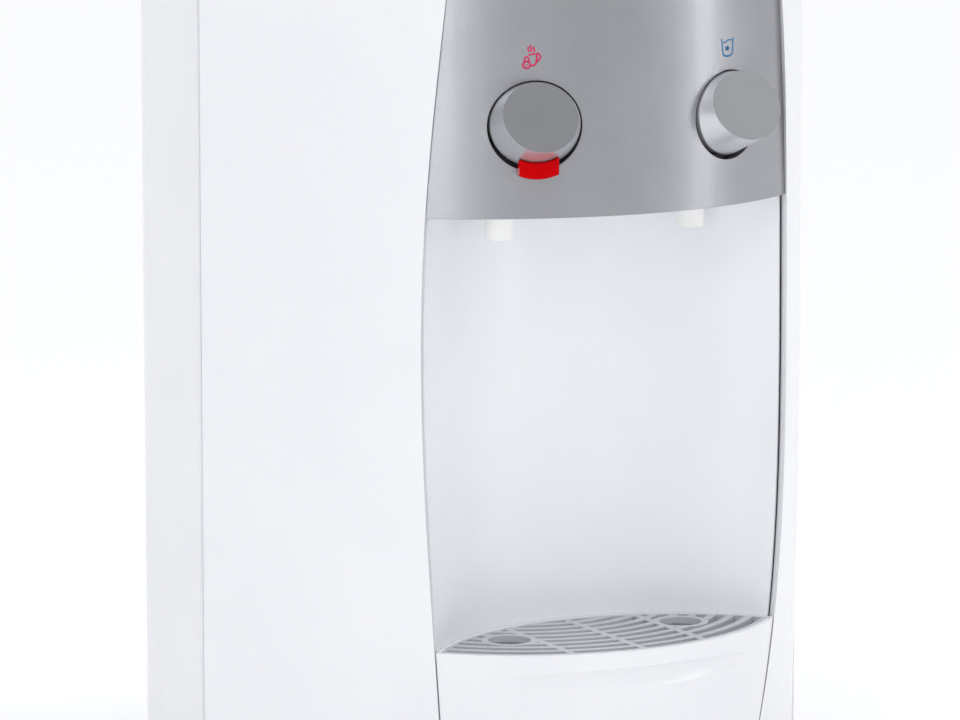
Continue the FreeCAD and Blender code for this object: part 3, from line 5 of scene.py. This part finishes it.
import bpy
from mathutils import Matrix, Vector


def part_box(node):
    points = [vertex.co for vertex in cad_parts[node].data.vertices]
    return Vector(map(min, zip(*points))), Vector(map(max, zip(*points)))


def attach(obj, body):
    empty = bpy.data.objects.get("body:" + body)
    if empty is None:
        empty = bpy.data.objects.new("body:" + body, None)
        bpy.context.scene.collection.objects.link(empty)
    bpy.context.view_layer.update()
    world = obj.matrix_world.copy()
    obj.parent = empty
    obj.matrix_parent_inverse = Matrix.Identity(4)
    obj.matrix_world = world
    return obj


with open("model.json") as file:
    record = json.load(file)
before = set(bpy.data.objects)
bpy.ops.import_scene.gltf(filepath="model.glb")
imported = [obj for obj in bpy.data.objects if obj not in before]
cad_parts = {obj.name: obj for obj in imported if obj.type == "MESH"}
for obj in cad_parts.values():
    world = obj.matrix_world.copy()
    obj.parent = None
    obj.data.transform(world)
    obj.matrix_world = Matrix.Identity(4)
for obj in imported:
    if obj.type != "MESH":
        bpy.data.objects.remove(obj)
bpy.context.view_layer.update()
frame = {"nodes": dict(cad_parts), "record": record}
NODES = frame["nodes"]
MM = 0.001


# ---------------------------------------------------------------- colours and shader nodes

def linear(code):
    """An sRGB hex colour as the linear red, green, blue and alpha that a socket takes."""
    parts = [int(code[i:i + 2], 16) / 255 for i in (1, 3, 5)]
    return tuple(c / 12.92 if c <= 0.04045 else ((c + 0.055) / 1.055) ** 2.4 for c in parts) + (1.0,)


def add(tree, kind, fields=None, values=None, links=None):
    """Adds one node: its fields are set, its sockets get their values, and its links are made."""
    node = tree.nodes.new(kind)
    for field, value in (fields or {}).items():
        setattr(node, field, value)
    for socket, value in (values or {}).items():
        node.inputs[socket].default_value = value
    for socket, source in (links or {}).items():
        tree.links.new(source, node.inputs[socket])
    return node


def per(size_mm):
    """The scale of a noise whose blotches are about this many millimetres across."""
    return 1000 / size_mm


def finish(name, draw):
    """A new material whose nodes are drawn by the given function, which returns the surface shader."""
    material = bpy.data.materials.new(name)
    material.use_nodes = True
    tree = material.node_tree
    tree.nodes.clear()
    place = add(tree, "ShaderNodeTexCoord").outputs["Object"]
    surface = draw(tree, place)
    output = add(tree, "ShaderNodeOutputMaterial")
    tree.links.new(surface.outputs[0], output.inputs["Surface"])
    return material


def spread(tree, noise, low, high, start=0.3, end=0.7):
    """Turns a noise into a value between low and high."""
    return add(tree, "ShaderNodeMapRange", {"interpolation_type": "SMOOTHSTEP"},
               {"From Min": start, "From Max": end, "To Min": low, "To Max": high},
               {"Value": noise}).outputs["Result"]


def tint(tree, factor, one, other):
    """A colour between two hex colours."""
    return add(tree, "ShaderNodeMix", {"data_type": "RGBA"}, {6: linear(one), 7: linear(other)},
               {0: factor}).outputs[2]


def moulded(name, colour, shade, gloss, peel_mm=1.6, peel_deep=0.004, edge_mm=0.35, **sockets):
    """Injection-moulded thermoplastic: a slow drift of colour where the melt flowed, a gloss that
    varies with handling, the shallow orange peel of the tool's polish, and edges the tool rounds."""
    def draw(tree, place):
        flow = add(tree, "ShaderNodeTexNoise", {}, {"Scale": per(85), "Detail": 2.0}, {"Vector": place})
        smear = add(tree, "ShaderNodeTexNoise", {}, {"Scale": per(45), "Detail": 1.0}, {"Vector": place})
        peel = add(tree, "ShaderNodeTexNoise", {}, {"Scale": per(peel_mm), "Detail": 1.0}, {"Vector": place})
        edge = add(tree, "ShaderNodeBevel", {"samples": 4}, {"Radius": edge_mm * MM})
        skin = add(tree, "ShaderNodeBump", {}, {"Strength": 0.6, "Distance": peel_deep * MM},
                   {"Height": peel.outputs[0], "Normal": edge.outputs[0]})
        values = {"IOR": 1.53}
        values.update(sockets)
        return add(tree, "ShaderNodeBsdfPrincipled", {}, values, {
            "Base Color": tint(tree, spread(tree, flow.outputs[0], 0, 1), colour, shade),
            "Roughness": spread(tree, smear.outputs[0], gloss * 0.93, gloss * 1.09),
            "Normal": skin.outputs[0]})
    return finish(name, draw)


def lacquered(name, colour, flake, gloss, flake_mm=0.35, **sockets):
    """Silver lacquer over moulded ABS: aluminium flakes in a clear binder. The flakes are far finer
    than this in the real paint; they are drawn about three times as coarse so that they show."""
    def draw(tree, place):
        flakes = add(tree, "ShaderNodeTexVoronoi", {}, {"Scale": per(flake_mm)}, {"Vector": place})
        cloud = add(tree, "ShaderNodeTexNoise", {}, {"Scale": per(40), "Detail": 3.0}, {"Vector": place})
        sparkle = add(tree, "ShaderNodeSeparateColor", {}, {}, {"Color": flakes.outputs["Color"]})
        edge = add(tree, "ShaderNodeBevel", {"samples": 4}, {"Radius": 0.4 * MM})
        grain = add(tree, "ShaderNodeBump", {}, {"Strength": 0.25, "Distance": 0.003 * MM},
                    {"Height": sparkle.outputs[0], "Normal": edge.outputs[0]})
        values = {"Metallic": 0.75, "Coat Weight": 0.35, "Coat Roughness": 0.12, "Coat IOR": 1.5}
        values.update(sockets)
        drift = add(tree, "ShaderNodeMath", {"operation": "MULTIPLY_ADD"},
                    {1: 0.35}, {0: sparkle.outputs[1], 2: spread(tree, cloud.outputs[0], 0.12, 0.38)})
        return add(tree, "ShaderNodeBsdfPrincipled", {}, values, {
            "Base Color": tint(tree, drift.outputs[0], colour, flake),
            "Roughness": spread(tree, sparkle.outputs[2], gloss * 0.9, gloss * 1.15, 0, 1),
            "Normal": grain.outputs[0]})
    return finish(name, draw)


def metal(name, colour, shade, gloss, grain_mm, stretch, **sockets):
    """Bare metal with drawn, rolled or brushed lines: stretch is how much longer a line is than wide,
    along X, Y and Z."""
    def draw(tree, place):
        along = add(tree, "ShaderNodeMapping", {}, {"Scale": stretch}, {"Vector": place})
        lines = add(tree, "ShaderNodeTexNoise", {}, {"Scale": per(grain_mm), "Detail": 3.0},
                    {"Vector": along.outputs[0]})
        patina = add(tree, "ShaderNodeTexNoise", {}, {"Scale": per(18), "Detail": 4.0}, {"Vector": place})
        skin = add(tree, "ShaderNodeBump", {}, {"Strength": 0.4, "Distance": 0.01 * MM},
                   {"Height": lines.outputs[0]})
        values = {"Metallic": 1.0}
        values.update(sockets)
        return add(tree, "ShaderNodeBsdfPrincipled", {}, values, {
            "Base Color": tint(tree, spread(tree, patina.outputs[0], 0, 1), colour, shade),
            "Roughness": spread(tree, lines.outputs[0], gloss * 0.8, gloss * 1.3),
            "Normal": skin.outputs[0]})
    return finish(name, draw)


# ---------------------------------------------------------------- the finishes

FINISHES = {
    # Moulded ABS from a polished tool: a cool, dense white with a wet highlight along every edge.
    "shell_white": moulded("moulded_abs_polished_white", "#ECEDF0", "#E8E9ED", 0.22,
                           **{"Subsurface Weight": 0.04, "Subsurface Scale": 0.004}),
    # The same ABS from a satin tool: the highlight spreads into broad upright bands.
    "liner_white": moulded("moulded_abs_satin_white", "#ECEEF1", "#E8EAEE", 0.19,
                           **{"Subsurface Weight": 0.04, "Subsurface Scale": 0.004}),
    # Silver lacquer on the control panel: mid grey, with a soft metallic glow where a light lies in it.
    "panel_silver": lacquered("silver_lacquer_on_abs", "#94959A", "#A8A9AE", 0.33),
    # Silver lacquer on the buttons: darker and more satin, so the faces read as flat grey; the darker grey is
    # painted shade, as the faces are the same silver paint as their lighter skirt.
    "button_silver": lacquered("satin_silver_lacquer_painted_shade", "#898A8E", "#97989C", 0.38),
    # Clear red polycarbonate: light sinks in and comes back deep red, with a hard gloss on top.
    "lock_red": moulded("red_polycarbonate_polished", "#C60006", "#AE0005", 0.14, peel_deep=0.001,
                        edge_mm=1.5, **{"IOR": 1.585, "Specular IOR Level": 0.25,
                                        "Specular Tint": linear("#FF5A5A")}),
    # Food-grade polypropylene: milky, a little waxy, and bright where light comes through it.
    "tap_white": moulded("moulded_polypropylene_milk_white", "#F6F6F4", "#F0F0EE", 0.33,
                         **{"IOR": 1.49, "Subsurface Weight": 0.2, "Subsurface Scale": 0.003}),
    # Spark-eroded ABS: an even, dry grey that shows no highlight, only the shape.
    "grille_grey": moulded("moulded_abs_spark_eroded_grey", "#C2C4C8", "#B7B9BE", 0.5,
                           peel_mm=0.5, peel_deep=0.02),
    # Glass-filled nylon: near black, with a faint dry sheen off the fibres at the skin.
    "inner_black": moulded("moulded_glass_filled_nylon_black", "#17181A", "#1F2023", 0.5,
                           peel_mm=0.7, peel_deep=0.02, IOR=1.52),
    # Uncoloured polypropylene: warm, cloudy white.
    "inner_natural": moulded("moulded_polypropylene_natural", "#E4E3DA", "#DAD9CF", 0.38,
                             **{"IOR": 1.49, "Subsurface Weight": 0.2, "Subsurface Scale": 0.004}),
    # Steam-moulded polystyrene foam: dull white with the beads pressed flat against each other.
    "foam": moulded("steam_moulded_polystyrene_foam", "#F2F2EE", "#E6E6E1", 0.85,
                    peel_mm=3.5, peel_deep=0.35, IOR=1.4),
    # Moulded nitrile rubber: charcoal, with a bloom that greys it.
    "rubber_grey": moulded("moulded_nitrile_rubber_charcoal", "#2A2B2D", "#3A3B3D", 0.62,
                           peel_mm=0.9, peel_deep=0.03, IOR=1.52),
    # Extruded silicone hose: cloudy and soft-looking.
    "silicone": moulded("extruded_silicone_cloudy", "#E8EBEA", "#DDE1E1", 0.3,
                        **{"IOR": 1.41, "Subsurface Weight": 0.4, "Subsurface Scale": 0.003}),
    # Drawn spring wire: bright lines along the wire.
    "spring_steel": metal("drawn_spring_steel_wire", "#B4B4B6", "#9C9DA0", 0.28, 0.4, (1, 1, 6)),
    # Deep-drawn stainless: long upright draw lines and a soft glow.
    "stainless": metal("deep_drawn_stainless_steel", "#C9C8C6", "#B9B8B7", 0.24, 0.8, (1, 1, 0.08)),
    # Galvanised sheet: dull, cool and cloudy.
    "zinc_sheet": metal("galvanised_sheet_steel", "#B3B7BA", "#9A9EA2", 0.42, 3.0, (1, 1, 1)),
    # Extruded aluminium: pale with fine lines along the extrusion.
    "aluminium": metal("extruded_aluminium", "#D6D7D9", "#C4C6C8", 0.32, 0.5, (1, 1, 0.05)),
    # Alumina plates of the cooler module: chalk white, dry.
    "ceramic_white": moulded("sintered_alumina", "#EFEEE9", "#E3E2DC", 0.5, peel_mm=0.6,
                             peel_deep=0.01, IOR=1.76),
    # Plated brass: pale gold, turned lines round it.
    "brass": metal("nickel_plated_brass", "#C9B98A", "#B5A371", 0.2, 0.5, (1, 1, 8)),
    # Glass-epoxy laminate: deep green under solder resist.
    "board_green": moulded("solder_resist_on_glass_epoxy", "#0F4A24", "#0B3D1D", 0.3, peel_mm=0.8,
                           peel_deep=0.01, IOR=1.55),
    # Zinc-plated screw steel: bright with a bluish passivation.
    "screw_zinc": metal("zinc_plated_screw_steel", "#C3C8CE", "#A9AEB5", 0.37, 0.5, (1, 6, 1)),
}

for part in frame["record"]["subparts"]:
    node = NODES[part["node"]]
    node.data.materials.clear()
    node.data.materials.append(FINISHES[part["material_slot"]])

# Lit and shaded copies of the buttons' one silver lacquer: the flat faces, which lean back, keep the darker
# satin copy as painted shade; the skirt round them gets a lighter, glossier copy as a painted highlight.
BUTTON_SKIRT_PAINTED_HIGHLIGHT = lacquered("silver_lacquer_painted_highlight", "#C8C9CE", "#D6D7DC", 0.33)
FACE_NORMAL_Y = -0.8
for name in ("hot_button", "cold_button"):
    mesh = NODES[name].data
    mesh.materials.append(BUTTON_SKIRT_PAINTED_HIGHLIGHT)
    for facet in mesh.polygons:
        facet.material_index = 0 if facet.normal.y < FACE_NORMAL_Y else 1


# ---------------------------------------------------------------- printed marks on the control panel

PANEL_RADIUS = 152.2 * MM
PANEL_NOSE_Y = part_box("control_panel")[0].y
INK_LIFT = 0.05 * MM      # how far the ink stands off the panel, and how deep its back sits in it
INK_FULL = 0.2 * MM       # the height on a drawn line at which its ink reaches the full lift
STROKE = 1.35             # line weight shared by both marks


def on_panel(x, z, raised):
    """A point on the bowed face of the control panel, x across and z up."""
    return Vector((x, PANEL_NOSE_Y + PANEL_RADIUS - sqrt((PANEL_RADIUS + raised) ** 2 - x * x), z))


def pad_printed(name, strokes, centre_x, centre_z, material):
    """A mark printed in lines on the bowed panel. A stroke is (line width, closed, points), all in
    millimetres about the mark's centre; the ink stands a few hundredths of a millimetre proud."""
    drawing = bpy.data.curves.new(name + "_lines", "CURVE")
    drawing.dimensions = "3D"
    drawing.bevel_depth = MM / 2
    drawing.bevel_resolution = 2
    drawing.use_fill_caps = True
    drawing.resolution_u = 8    # straight steps between two points of a line
    for width, closed, points in strokes:
        line = drawing.splines.new("BEZIER")
        line.bezier_points.add(len(points) - 1)
        for knot, (x, z) in zip(line.bezier_points, points):
            knot.co = (x * MM, z * MM, 0)
            knot.handle_left_type = knot.handle_right_type = "AUTO"
            knot.radius = width * STROKE
        line.use_cyclic_u = closed
    tubes = bpy.data.objects.new(name + "_lines", drawing)
    bpy.context.scene.collection.objects.link(tubes)
    bpy.context.view_layer.update()
    mesh = bpy.data.meshes.new_from_object(tubes)
    bpy.data.objects.remove(tubes)
    for vertex in mesh.vertices:
        x, z, height = vertex.co
        vertex.co = on_panel(centre_x + x, centre_z + z, INK_LIFT * max(-1, min(1, height / INK_FULL)))
    mesh.materials.clear()
    mesh.materials.append(material)
    mark = bpy.data.objects.new(name, mesh)
    bpy.context.scene.collection.objects.link(mark)
    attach(mark, "cabinet")
    return mark


def ring(radius, x, z, start=0.0, end=360.0, steps=12):
    """Points round a circle about x, z, from one angle to another in degrees."""
    turns = [radians(start + (end - start) * step / steps) for step in range(steps + (end - start < 360))]
    return [(x + radius * cos(turn), z + radius * sin(turn)) for turn in turns]


# Pad-printing ink: dense and slightly raised, with the dry edge of a screen's mesh.
INK_CRIMSON = moulded("pad_printed_ink_crimson", "#D41C60", "#C61656", 0.4, peel_mm=0.4, peel_deep=0.006)
INK_BLUE = moulded("pad_printed_ink_blue", "#0A7CB0", "#0672A4", 0.4, peel_mm=0.4, peel_deep=0.006)

HOT_MARK = [
    (0.62, False, [(-1.45, 0.95), (0.1, 1.25), (1.35, 1.55)]),                                  # cup rim
    (0.66, False, [(2.0, 1.9), (2.1, -0.8), (1.75, -2.6), (0.9, -3.5), (-0.4, -3.6)]),            # cup side
    (0.6, False, [(2.1, 1.75), (3.1, 1.15), (3.6, 0.0), (3.15, -1.15), (2.1, -1.85)]),            # handle
    (0.52, False, [(-1.4, 2.2), (-1.15, 3.0), (-1.55, 3.8), (-1.35, 4.5)]),                       # steam
    (0.52, False, [(-0.45, 2.4), (-0.1, 3.5), (-0.6, 4.5), (-0.3, 5.4)]),
    (0.52, False, [(0.85, 2.3), (1.15, 3.1), (0.6, 3.9), (0.8, 4.7)]),
    (0.66, True, ring(1.45, -2.15, -3.3)),                                                        # padlock
    (0.55, False, ring(0.85, -2.15, -0.75, 0, 180, 6)[::-1] + [(-1.3, -1.9)]),
    (0.55, False, [(-3.0, -0.75), (-3.0, -2.0)]),
    (0.62, False, [(-2.15, -3.05), (-2.15, -3.65)]),
]
SNOW_CENTRE = (0.0, -0.65)
COLD_MARK = [
    (0.66, False, [(-3.6, 3.75), (-3.25, 1.4), (-2.75, -1.7), (-2.1, -3.45), (-1.0, -3.9), (1.75, -3.9),
                   (2.95, -3.2), (3.4, -1.2), (3.55, 1.9), (3.75, 4.0)]),                         # glass
    (0.5, False, [(-2.5, 2.1), (-1.3, 2.0), (0.25, 2.8), (1.75, 3.0), (2.7, 2.7)]),               # water
] + [(0.5, False, [SNOW_CENTRE, (SNOW_CENTRE[0] + 1.45 * cos(radians(30 + 60 * arm)),
                                 SNOW_CENTRE[1] + 1.15 * sin(radians(30 + 60 * arm)))]) for arm in range(6)] + [
    (0.42, True, ring(0.62, *SNOW_CENTRE, steps=6)),
]
pad_printed("hot_water_mark", HOT_MARK, -50.1 * MM, 360.1 * MM, INK_CRIMSON)
pad_printed("cold_water_mark", COLD_MARK, 47.0 * MM, 360.1 * MM, INK_BLUE)


# ---------------------------------------------------------------- studio

def studio_floor():
    """A wide pale floor, matt as seamless paper."""
    def draw(tree, place):
        tooth = add(tree, "ShaderNodeTexNoise", {}, {"Scale": per(4), "Detail": 3.0}, {"Vector": place})
        return add(tree, "ShaderNodeBsdfPrincipled", {}, {"Base Color": linear("#F7F7F7"), "IOR": 1.45,
                   "Specular IOR Level": 0.2}, {"Roughness": spread(tree, tooth.outputs[0], 0.85, 0.95)})
    mesh = bpy.data.meshes.new("floor")
    reach = 14.0    # metres to each side
    mesh.from_pydata([(-reach, -reach, 0), (reach, -reach, 0), (reach, reach, 0), (-reach, reach, 0)], [],
                     [(0, 1, 2, 3)])
    mesh.materials.append(finish("seamless_paper_white", draw))
    floor = bpy.data.objects.new("floor", mesh)
    bpy.context.scene.collection.objects.link(floor)


def softbox(name, place, aim, wide, tall, watts):
    """A rectangular softbox at a place, turned towards a point."""
    light = bpy.data.lights.new(name, "AREA")
    light.shape = "RECTANGLE"
    light.size, light.size_y = wide, tall
    light.energy = watts
    lamp = bpy.data.objects.new(name, light)
    lamp.location = place
    lamp.rotation_euler = (Vector(aim) - Vector(place)).to_track_quat("-Z", "Y").to_euler()
    lamp.visible_camera = False
    bpy.context.scene.collection.objects.link(lamp)


studio_floor()
AIM = (0, 0, 0.3)
softbox("key_left", (-1.71, -1.71, 0.87), AIM, 1.1, 1.7, 3.0)
softbox("strip_left", (-1.02, -1.13, 0.62), AIM, 0.36, 1.1, 3.4)
softbox("strip_right", (1.36, -1.03, 0.77), AIM, 0.3, 1.5, 5)


def studio_light():
    """Light tent: bright overhead, dimmer towards the horizon, so the floor is whiter than the walls."""
    world = bpy.data.worlds.new("light_tent")
    bpy.context.scene.world = world
    world.use_nodes = True
    tree = world.node_tree
    tree.nodes.clear()
    up = add(tree, "ShaderNodeTexCoord").outputs["Generated"]
    height = add(tree, "ShaderNodeSeparateXYZ", {}, {}, {"Vector": up})
    rise = add(tree, "ShaderNodeMapRange", {"interpolation_type": "SMOOTHSTEP"},
               {"From Min": 0.45, "From Max": 0.9, "To Min": 0.47, "To Max": 1.6}, {"Value": height.outputs[2]})
    tent = add(tree, "ShaderNodeBackground", {}, {"Color": linear("#FCFDFF")}, {"Strength": rise.outputs[0]})
    tree.links.new(tent.outputs[0], add(tree, "ShaderNodeOutputWorld").inputs["Surface"])


studio_light()
bpy.context.scene.view_settings.view_transform = "Standard"

VIEW_AZIMUTH, VIEW_ELEVATION = -28.3, 8.84    # degrees: from the left, and looking down
lens = bpy.data.cameras.new("camera")
lens.lens = 211.9
lens.sensor_width = 36
camera = bpy.data.objects.new("camera", lens)
camera.location = (-1.2173, -2.2322, 0.6048)
camera.rotation_euler = (radians(90 - VIEW_ELEVATION), 0, radians(VIEW_AZIMUTH))
bpy.context.scene.collection.objects.link(camera)
bpy.context.scene.camera = camera
